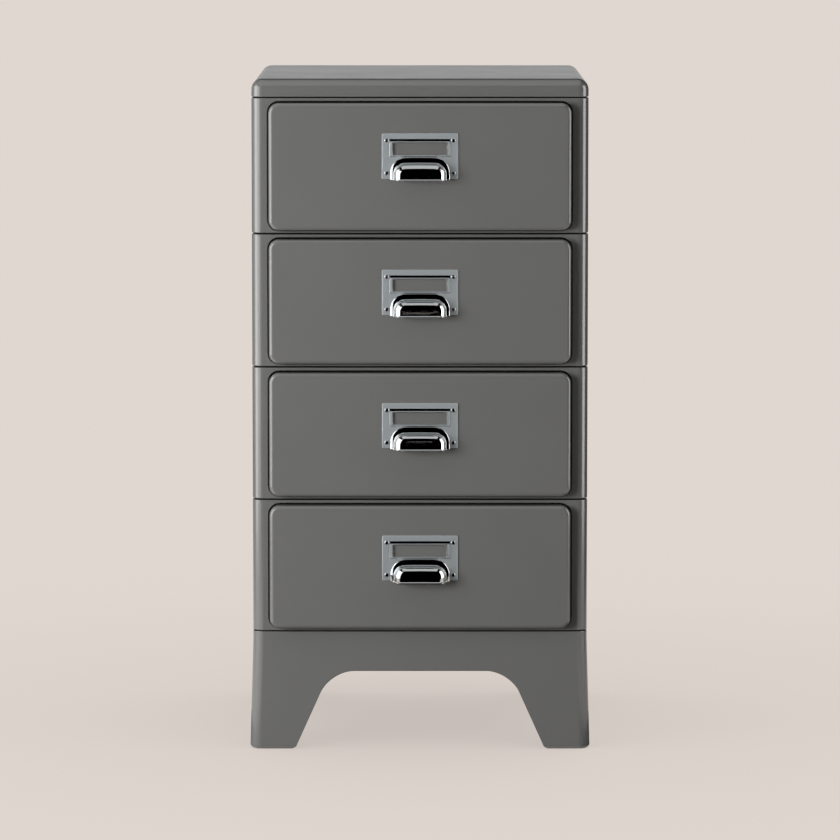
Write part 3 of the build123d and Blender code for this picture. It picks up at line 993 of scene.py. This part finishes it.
@dataclass
class CupPulls(Tiered):
    """Card-holder cup pulls: a satin plate, a raised card frame and a polished hood with a sloped flank."""

    plate: float = 1.2
    plate_height: float = 48.4
    plate_corner: float = 1.0
    plate_round: float = 0.4
    card_width: float = 65.2
    card_height: float = 19.7
    card_drop: float = 5.5
    card_raise: float = 1.1
    card_slope_top: float = 2.9
    card_slope: float = 0.7
    card_round: float = 0.25
    seat: float = 0.2  # how far a piece sinks into the one behind it
    window_width: float = 57.6
    window_height: float = 12.8
    window_drop: float = 10.0
    window_round: float = 0.7
    window_arc: int = 4
    window_depth: float = 6.0
    hood_width: float = 63.8
    hood_drop: float = 25.0
    shoulder: float = 17.0
    shoulder_arc: int = 14
    crown: float = 0.8
    crown_strips: int = 6
    rim_round: Pair = (1.5, 2.0)  # at its sides and at its top, as the next two
    rim_rise: float = 1.2
    rim_turn: float = 0.6  # share of the rounding after which the flank starts
    flank: Pair = (1.9, 3.4)
    flank_rise: float = 1.3
    hood_inset: Pair = (3.5, 5.6)
    hood_shoulder: float = 11.5
    hood_start: float = 1.2  # how far in front of the plate it starts
    side_round: float = 9.0
    top_round: float = 8.5
    dome_steps: int = 18
    dome_straight: float = 1.5
    hood_wall: float = 1.4
    flare_drop: float = 0.9  # the hood's lower edge turns out by so much over so much
    flare_reach: float = 0.8
    lip_round: float = 0.3
    hollow_depth: float = 9.0
    hollow_past: float = 2.0
    smooth_flat: float = 50.0  # steepest bends that are smoothed, in degrees
    smooth_rim: float = 30.0
    smooth_hood: float = 40.0

    def arched_slab(self, name: str, low: Vector, high: Vector, shoulder: float) -> Piece:
        """Slab with the hood's outline: round shoulders under a gently crowned top.

        Args:
            name: the object's name.
            low: lowest corner.
            high: highest corner; high.z is the height at the shoulders.
            shoulder: radius of the shoulders in millimetres.

        Returns:
            The slab.
        """
        slab = start_block(name, low, high)
        round_edges(
            slab,
            lambda e: runs_along(e, Axis.Y) and lies_at(e, Axis.Z, high.z),
            shoulder,
            self.shoulder_arc,
        )
        flat = high.x - shoulder * MM
        for step in range(1, self.crown_strips):
            slice_at(slab, Axis.X, flat * (2 * step / self.crown_strips - 1))
        upper = {round(v.co.x, DIGITS) for v in slab.data.vertices if v.co.z > low.z + NEAR}
        for place in sorted(upper):
            rise = self.crown * MM * (1 - (place / high.x) ** 2)
            with picked(slab, Pick.VERT, lambda v: v.co.z > low.z + NEAR and abs(v.co.x - place) < SAME):
                bpy.ops.transform.translate(value=(0, 0, rise))
        return slab

    def quarter(self, depth: float, rounds: Pair, reach: float) -> list[Triple]:
        """Profile that closes in like a quarter ellipse.

        Args:
            depth: how far forward it goes, in metres.
            rounds: how far the sides and the top close in, in metres.
            reach: over how much of the depth they do so, in metres.

        Returns:
            Steps: how far forward, and how far the sides and the top are closed in.
        """
        steps = []
        for step in range(self.dome_steps + 1):
            angle = pi / 2 * step / self.dome_steps
            close = 1 - cos(angle)
            steps.append((depth - reach + reach * sin(angle), rounds[0] * close, rounds[1] * close))
        return steps

    def draw_out(self, slab: Piece, lip: float, profile: list[Triple]) -> None:
        """Draws a slab's front forwards along a profile.

        Args:
            slab: the slab, which ends at its front face.
            lip: height that the form doesn't close in from, in metres.
            profile: steps, each with how far forward, and how far sides and top have closed in, in metres.
        """
        low, high = Vector(slab.bound_box[0]), Vector(slab.bound_box[6])
        half, tall, front = high.x, high.z - lip, low.y
        last = (1.0, 1.0)
        for along, side, upper in profile:
            shares = (1 - side / half, 1 - upper / tall)
            here = low.y - along
            with picked(
                slab, Pick.FACE, lambda f: f.normal.y < -SQUARE and f.calc_center_median().y < front + NEAR
            ):
                bpy.ops.mesh.extrude_region_move(TRANSFORM_OT_translate={"value": (0, here - front, 0)})
                bpy.ops.transform.resize(
                    value=(shares[0] / last[0], 1, shares[1] / last[1]), center_override=(0, here, lip)
                )
            front, last = here, shares

    def face(self, high: Vector) -> float:
        """Where the plate's front face lies."""
        return high.y - self.plate * MM

    def shoulder_z(self, high: Vector) -> float:
        """Height of the rim's shoulders."""
        return high.z - (self.hood_drop + self.crown) * MM

    def make_plate(self, low: Vector, high: Vector) -> Piece:
        """Makes the flat plate behind the card frame and the hood.

        Args:
            low: the pull's lowest corner.
            high: its highest corner.

        Returns:
            The plate.
        """
        face = self.face(high)
        plate = start_block("plate", Vector((low.x, face, high.z - self.plate_height * MM)), high)
        round_edges(plate, along(Axis.Y), self.plate_corner, FINE)
        round_edges(plate, at(Axis.Y, face), self.plate_round, FINE)
        self.cut_window(plate, high)
        return plate

    def make_card(self, high: Vector) -> Piece:
        """Makes the raised frame that holds a card.

        Args:
            high: the pull's highest corner.

        Returns:
            The frame.
        """
        face = self.face(high)
        front, top = face - self.card_raise * MM, high.z - self.card_drop * MM
        half = self.card_width / 2 * MM
        start = Vector((-half, front, top - self.card_height * MM))
        card = start_block("card", start, Vector((half, face + self.seat * MM, top)))
        self.slope_card(card, front)
        self.cut_window(card, high)

        def on_window(edge: Edge) -> bool:
            """Test for the front edges of the window."""
            walls = [f for f in edge.link_faces if abs(f.normal.y) < ASIDE]
            return lies_at(edge, Axis.Y, front) and len(walls) == 1

        round_edges(card, on_window, self.window_round, self.window_arc)
        return card

    def cut_window(self, piece: Piece, high: Vector) -> None:
        """Cuts the card's window.

        Args:
            piece: the plate or the frame.
            high: the pull's highest corner.
        """
        half, top = self.window_width / 2 * MM, high.z - self.window_drop * MM
        start = Vector((-half, high.y - self.window_depth * MM, top - self.window_height * MM))
        end = Vector((half, high.y + self.hollow_past * MM, top))
        cut_away(piece, start_block("window", start, end))

    def make_rim(self, low: Vector, high: Vector) -> Piece:
        """Makes the rim that turns forward round the hood, and the flank that slopes up from it.

        Args:
            low: the pull's lowest corner.
            high: its highest corner.

        Returns:
            Rim and flank.
        """
        half = self.hood_width / 2 * MM
        start = Vector((-half, self.face(high), low.z))
        rim = self.arched_slab("rim", start, Vector((half, high.y, self.shoulder_z(high))), self.shoulder)
        side, upper = (size * MM for size in self.rim_round)
        rise = self.rim_rise * MM
        turned = [step for step in self.quarter(rise, (side, upper), rise) if step[1] < self.rim_turn * side]
        close = [(turn + run) * MM for turn, run in zip(self.rim_round, self.flank)]
        self.draw_out(rim, low.z, [*turned, ((self.rim_rise + self.flank_rise) * MM, *close)])
        return rim

    def make_hood(self, low: Vector, high: Vector) -> Piece:
        """Makes the domed hood, whose lower edge flares out.

        Args:
            low: the pull's lowest corner.
            high: its highest corner.

        Returns:
            The hood, open below and behind.
        """
        start, lip = self.face(high) - self.hood_start * MM, low.z
        half, top = self.hood_limits(high)
        edge = lip + self.flare_drop * MM
        end = Vector((half, start + self.seat * MM, top))
        hood = self.arched_slab("hood", Vector((-half, start, edge)), end, self.hood_shoulder)
        reach = self.flare_reach * MM
        depth = start - low.y - reach
        rounds = (self.side_round * MM, self.top_round * MM)
        self.draw_out(hood, edge, self.quarter(depth, rounds, depth - self.dome_straight * MM))
        remove_faces(hood, lambda f: f.normal.z < -SQUARE or f.normal.y > SQUARE)
        with picked(hood, Pick.EDGE, lambda e: e.is_boundary and lies_at(e, Axis.Z, edge)):
            bpy.ops.mesh.extrude_region_move(TRANSFORM_OT_translate={"value": (0, 0, lip - edge)})
            flare = (1 + reach / half, 1 + reach / depth, 1)
            bpy.ops.transform.resize(value=flare, center_override=(0, start, lip))
        fold_sheet(hood, self.hood_wall)
        round_edges(
            hood,
            lambda e: lies_at(e, Axis.Z, lip) and any(abs(f.normal.z) < SLOPING for f in e.link_faces),
            self.lip_round,
            FINE,
        )
        return hood

    def hood_limits(self, high: Vector) -> Pair:
        """Half the hood's width at the plate, and the height of its shoulders there."""
        side, upper = (inset * MM for inset in self.hood_inset)
        return self.hood_width / 2 * MM - side, self.shoulder_z(high) - upper

    def cut_hollow(self, piece: Piece, low: Vector, high: Vector) -> None:
        """Cuts the space under the hood.

        Args:
            piece: the plate or the rim.
            low: the pull's lowest corner.
            high: its highest corner.
        """
        half, top = (limit - self.hood_wall * MM for limit in self.hood_limits(high))
        past = self.hollow_past * MM
        start = Vector((-half, high.y - self.hollow_depth * MM, low.z - past))
        end = Vector((half, high.y + past, top))
        cut_away(piece, self.arched_slab("hollow", start, end, self.hood_shoulder - self.hood_wall))

    def model(self, tier: int) -> Piece:
        """Models the pull of one drawer.

        Args:
            tier: the drawer's number from the top.

        Returns:
            The pull as one piece, whose faces name the polished or the satin finish.
        """
        low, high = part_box(f"pull_{tier}")
        plate, card = self.make_plate(low, high), self.make_card(high)
        rim, hood = self.make_rim(low, high), self.make_hood(low, high)
        for piece in (plate, rim):
            self.cut_hollow(piece, low, high)
        for piece in (plate, card, rim, hood):
            self.paint.coat(piece, Slot.PULL, SATIN_PLATE)
            for polygon in piece.data.polygons:
                satin = piece is plate or (piece is card and abs(polygon.normal.y) > NEARLY)
                polygon.material_index = 1 if satin else 0
        smooth(plate, self.smooth_flat)
        smooth(card, self.smooth_flat)
        smooth(rim, self.smooth_rim, flats=False)
        smooth(hood, self.smooth_hood, flats=False)
        return join_pieces([plate, card, rim, hood], "pull_pattern")

    def build(self) -> list[Piece]:
        """Makes the pull of every drawer.

        Returns:
            The four pulls, each riding on its drawer.
        """
        made = []
        for tier, pull in self.copies("cup_pull", "pull"):
            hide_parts(f"pull_{tier}")
            made.append(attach(pull, f"drawer_{tier}"))
        return made

    def slope_card(self, card: Piece, front: float) -> None:
        """Leans the card frame's edges back, most of all along its top, and rounds them.

        Args:
            card: the frame's block.
            front: where its front face lies, in metres.
        """
        low, high = Vector(card.bound_box[0]), Vector(card.bound_box[6])
        for axis, place, step in (
            (Axis.Z, high.z, -self.card_slope_top),
            (Axis.Z, low.z, self.card_slope),
            (Axis.X, low.x, self.card_slope),
            (Axis.X, high.x, -self.card_slope),
        ):
            shift = [0.0, 0.0, 0.0]
            shift[axis.value] = step * MM
            with picked(
                card, Pick.VERT, lambda v: v.co.y < front + NEAR and abs(v.co[axis.value] - place) < NEAR
            ):
                bpy.ops.transform.translate(value=shift)
        round_edges(card, at(Axis.Y, front), self.card_round, FINE)


@dataclass
class PullScrews(Tiered):
    """Domed screws with one slot, four to a pull."""

    spacing_x: float = 71.2
    spacing_z: float = 34.8
    radius: float = 2.4
    sides: int = 32
    rise: float = 1.3
    head_round: float = 1.1
    head_arc: int = 6
    slot_width: float = 0.6
    slot_depth: float = 0.5
    slot_reach: float = 3.0
    turns: tuple[float, ...] = (25.0, 70.0, 100.0, 140.0)
    smooth_angle: float = 45.0

    def model(self, tier: int) -> Piece:
        """Models one pull's four screws.

        Args:
            tier: the drawer's number from the top.

        Returns:
            The screws as one piece.
        """
        low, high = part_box(f"pull_screws_{tier}")
        middle = Vector((0, low.y + self.rise * MM, (low.z + high.z) / 2))
        made = []
        spots = [(x, z) for x in (-0.5, 0.5) for z in (-0.5, 0.5)]
        for turn, (x, z) in zip(self.turns, spots):
            spot = middle + Vector((x * self.spacing_x, 0, z * self.spacing_z)) * MM
            drop_selection()
            bpy.ops.mesh.primitive_cylinder_add(
                vertices=self.sides,
                radius=self.radius * MM,
                depth=self.rise * MM,
                location=spot - Vector((0, self.rise / 2 * MM, 0)),
                rotation=(pi / 2, 0, 0),
            )
            head = bpy.context.active_object
            bpy.ops.object.transform_apply(location=True, rotation=True, scale=True)
            front = spot.y - self.rise * MM
            round_edges(head, at(Axis.Y, front), self.head_round, self.head_arc)
            wide, reach = self.slot_width / 2 * MM, self.slot_reach * MM
            start = Vector((-reach, front - MM, -wide))
            groove = start_block("groove", start, Vector((reach, front + self.slot_depth * MM, wide)))
            with picked(groove, Pick.VERT, lambda v: True):
                bpy.ops.transform.rotate(value=radians(turn), orient_axis="Y", center_override=(0, 0, 0))
                bpy.ops.transform.translate(value=(spot.x, 0, spot.z))
            cut_away(head, groove)
            smooth(head, self.smooth_angle)
            made.append(head)
        screws = join_pieces(made, "screw_pattern")
        self.paint.coat(screws, Slot.SCREW)
        return screws

    def build(self) -> list[Piece]:
        """Makes the screws of every drawer.

        Returns:
            The four sets, each riding on its drawer.
        """
        made = []
        for tier, screws in self.copies("domed_screws", "pull_screws"):
            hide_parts(f"pull_screws_{tier}")
            made.append(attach(screws, f"drawer_{tier}"))
        return made


@dataclass
class Cabinet:
    """The whole cabinet: new pieces for what is seen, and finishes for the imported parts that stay."""

    paint: Paintbox

    def build(self) -> list[Piece]:
        """Builds every piece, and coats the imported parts.

        Returns:
            The new pieces.
        """
        made = [Cap(self.paint).build(), *TierShells(self.paint).build(), FlaredBase(self.paint).build()]
        made += DrawerFronts(self.paint).build()
        made += CupPulls(self.paint).build()
        made += PullScrews(self.paint).build()
        slots = {part["node"]: Slot(part["material_slot"]) for part in frame["record"]["subparts"]}
        for name, node in frame["nodes"].items():
            self.paint.coat(node, slots[name])
        return made


# ---- studio
@dataclass(frozen=True)
class Lamp:
    """One soft box."""

    name: str
    place: Triple
    aim: Triple
    wide: float
    high: float
    watts: float
    mirrored: bool = True

    def hang(self) -> None:
        """Puts the lamp up and turns it to its aim."""
        light = bpy.data.lights.new(self.name, "AREA")
        light.shape = "RECTANGLE"
        light.size, light.size_y = self.wide, self.high
        light.energy = self.watts
        lamp = bpy.data.objects.new(self.name, light)
        bpy.context.scene.collection.objects.link(lamp)
        lamp.location = self.place
        lamp.visible_glossy = self.mirrored
        way = Vector(self.aim) - Vector(self.place)
        lamp.rotation_euler = way.to_track_quat("-Z", "Y").to_euler()


@dataclass(frozen=True)
class Card:
    """One card of an even tone that only mirrored rays see, as a studio darkens bright metal with."""

    name: str
    place: Triple
    tilt: Triple
    wide: float
    high: float
    tone: str = "000000"

    def paper(self) -> bpy.types.Material:
        """Makes the card's even tone.

        Returns:
            The material.
        """
        material = new_material(self.name)
        tree = material.node_tree
        tone = add_node(tree, "ShaderNodeEmission", {"Color": linear(self.tone), "Strength": 1.0})
        add_node(tree, "ShaderNodeOutputMaterial", links={"Surface": tone.outputs[0]})
        return material

    def stand(self) -> None:
        """Sets the card up."""
        drop_selection()
        bpy.ops.mesh.primitive_plane_add(size=1)
        card = bpy.context.active_object
        bpy.ops.transform.resize(value=(self.wide, self.high, 1))
        card.location = self.place
        card.rotation_euler = tuple(radians(angle) for angle in self.tilt)
        bpy.ops.object.transform_apply(location=True, rotation=True, scale=True)
        card.name = self.name
        card.data.materials.append(self.paper())
        card.visible_camera = card.visible_diffuse = card.visible_shadow = card.visible_transmission = False


@dataclass
class Studio:
    """Pale floor and surroundings, soft boxes, dark cards and the camera."""

    pale: str = "e0d7d0"
    dark_paper: str = "b0aca8"  # what the floor throws back as light; the camera and mirrors see it pale
    ambient: float = 0.1
    floor_size: float = 120.0
    painted_shade_reach: float = 0.9  # how far up the floor looks for what casts its painted shade, in metres
    painted_shade_depth: float = 0.25
    painted_shade_power: float = 0.85
    painted_shade_samples: int = 16
    paper_share: float = 0.03  # share of real paper near the cabinet, which fades out with distance
    paper_reach: Pair = (0.5, 1.6)
    camera_place: Triple = (0.0, -5.6, 0.953)
    camera_dip: float = 6.27
    focal_pixels: float = 5086.5
    frame_pixels: int = 840
    sensor: float = 36.0
    far_clip: float = 200.0
    lamps: tuple[Lamp, ...] = (
        Lamp("left_box", (-1.387, -0.504, 0.75), (0, -0.18, 0.5), 0.76, 1.4, 10.7),
        Lamp("left_wing", (-1.13, -1.13, 0.75), (0, -0.18, 0.5), 0.7, 1.4, 5.5),
        Lamp("right_box", (1.473, -0.443, 0.75), (0, -0.18, 0.5), 0.78, 1.4, 11.0),
        Lamp("top_box", (0.0, -0.65, 2.9), (0, -0.65, 0.0), 3.0, 3.3, 20.0),
        Lamp("left_fill", (-2.1, -1.9, 0.7), (0, -0.18, 0.2), 1.3, 1.0, 97.0, mirrored=False),
    )
    cards: tuple[Card, ...] = (
        Card("front_floor_card", (0, -4.2, 0.004), (0, 0, 0), 7.0, 6.0),
        Card("near_floor_card", (0, -0.6, 0.003), (0, 0, 0), 0.7, 1.3),
        Card("front_card", (0, -7.5, 1.5), (90, 0, 0), 7.0, 5.0),
        Card("left_wall_card", (-2.6, -4.45, 1.9), (90, 0, 90), 6.1, 3.8),
        Card("right_wall_card", (2.6, -4.45, 1.9), (90, 0, 90), 6.1, 3.8),
        Card("roof_card", (0, 0.3, 4.0), (0, 0, 0), 7.0, 15.6),
        Card("left_card", (-1.1, 3.0, 1.5), (90, 0, 90), 6.2, 3.0),
        Card("right_card", (1.1, 3.0, 1.5), (90, 0, 90), 6.2, 3.0),
        Card("rear_low_card", (0, 2.6, 0.75), (90, 0, 0), 2.2, 0.7, "c8c8c8"),
        Card("rear_high_card", (0, 2.6, 2.6), (90, 0, 0), 2.2, 3.0),
    )

    def surroundings(self) -> None:
        """Pale background for the camera and for mirrored rays, and an even dim light for the rest."""
        world = bpy.data.worlds.new("pale_surroundings")
        bpy.context.scene.world = world
        world.use_nodes = True
        tree = world.node_tree
        tree.nodes.clear()
        seen = self.seen_rays(tree)
        dim = add_node(tree, "ShaderNodeBackground", {"Color": (1, 1, 1, 1), "Strength": self.ambient})
        pale = add_node(tree, "ShaderNodeBackground", {"Color": linear(self.pale), "Strength": 1.0})
        mix = add_node(tree, "ShaderNodeMixShader", links={0: seen, 1: dim.outputs[0], 2: pale.outputs[0]})
        add_node(tree, "ShaderNodeOutputWorld", links={"Surface": mix.outputs[0]})

    def seen_rays(self, tree: Tree) -> Socket:
        """Tells the rays that see the surroundings from the rays that carry light.

        Args:
            tree: node tree that gets the nodes.

        Returns:
            One for camera, glossy and transmission rays, else nothing.
        """
        path = add_node(tree, "ShaderNodeLightPath")
        seen = path.outputs["Is Camera Ray"]
        for ray in ("Is Glossy Ray", "Is Transmission Ray"):
            links = {0: seen, 1: path.outputs[ray]}
            seen = add_node(tree, "ShaderNodeMath", {"operation": "MAXIMUM"}, links).outputs[0]
        return seen

    def floor(self) -> None:
        """Large pale floor, whose glow carries a soft painted shade under and round the cabinet, from ambient
        occlusion; a small share of real paper keeps the lamps' shadows.
        """
        drop_selection()
        bpy.ops.mesh.primitive_plane_add(size=self.floor_size)
        ground = bpy.context.active_object
        ground.name = "studio_floor"
        material = new_material("pale_paper")
        tree = material.node_tree
        seen = self.seen_rays(tree)
        colours = {"data_type": "RGBA", FIRST: linear(self.dark_paper), SECOND: linear(self.pale)}
        tone = add_node(tree, "ShaderNodeMix", colours, {0: seen}).outputs[RESULT]
        paper = add_node(tree, "ShaderNodeBsdfDiffuse", links={"Color": tone}).outputs[0]
        # painted shade: ambient occlusion darkens the floor's glow where a shadow would fall
        look = {"samples": self.painted_shade_samples, "Distance": self.painted_shade_reach}
        open_sky = add_node(tree, "ShaderNodeAmbientOcclusion", look).outputs["AO"]
        hidden = add_node(tree, "ShaderNodeMath", {"operation": "SUBTRACT", 0: 1.0}, {1: open_sky}).outputs[0]
        power = {"operation": "POWER", 1: self.painted_shade_power}
        deep = add_node(tree, "ShaderNodeMath", power, {0: hidden}).outputs[0]
        ends = {"To Min": 1.0, "To Max": 1 - self.painted_shade_depth}
        shade = add_node(tree, "ShaderNodeMapRange", ends, {"Value": deep}).outputs[0]
        pale = {"Color": linear(self.pale)}
        glow = add_node(tree, "ShaderNodeEmission", pale, {"Strength": shade}).outputs[0]
        place = add_node(tree, "ShaderNodeTexCoord").outputs["Object"]
        reach = add_node(tree, "ShaderNodeVectorMath", {"operation": "LENGTH"}, {0: place}).outputs["Value"]
        start, end = self.paper_reach
        ends = {"From Min": start, "From Max": end, "To Min": 1 - self.paper_share, "To Max": 1.0}
        steps = {"interpolation_type": "SMOOTHSTEP", **ends}
        fade = add_node(tree, "ShaderNodeMapRange", steps, {"Value": reach}).outputs[0]
        own = add_node(tree, "ShaderNodeMath", {"operation": "MULTIPLY"}, {0: fade, 1: seen}).outputs[0]
        mix = add_node(tree, "ShaderNodeMixShader", links={0: own, 1: paper, 2: glow})
        add_node(tree, "ShaderNodeOutputMaterial", links={"Surface": mix.outputs[0]})
        ground.data.materials.append(material)

    def camera(self) -> None:
        """Camera in front of the cabinet, a little above it, as in the photograph."""
        lens = bpy.data.cameras.new("studio_camera")
        lens.sensor_width = self.sensor
        lens.lens = self.focal_pixels / self.frame_pixels * self.sensor
        lens.clip_end = self.far_clip
        eye = bpy.data.objects.new("studio_camera", lens)
        bpy.context.scene.collection.objects.link(eye)
        eye.location = self.camera_place
        eye.rotation_euler = (radians(90 - self.camera_dip), 0, 0)
        bpy.context.scene.camera = eye

    def build(self) -> None:
        """Sets the studio up."""
        bpy.context.scene.view_settings.view_transform = "Standard"
        self.camera()
        self.surroundings()
        self.floor()
        for lamp in self.lamps:
            lamp.hang()
        for card in self.cards:
            card.stand()


def main() -> None:
    """Builds the studio and the cabinet."""
    logging.basicConfig(level=logging.INFO, format="%(name)s: %(message)s")
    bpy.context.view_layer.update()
    Studio().build()
    for piece in Cabinet(Paintbox()).build():
        log.info("%s has %d faces", piece.name, len(piece.data.polygons))


if __name__ == "__main__":
    main()
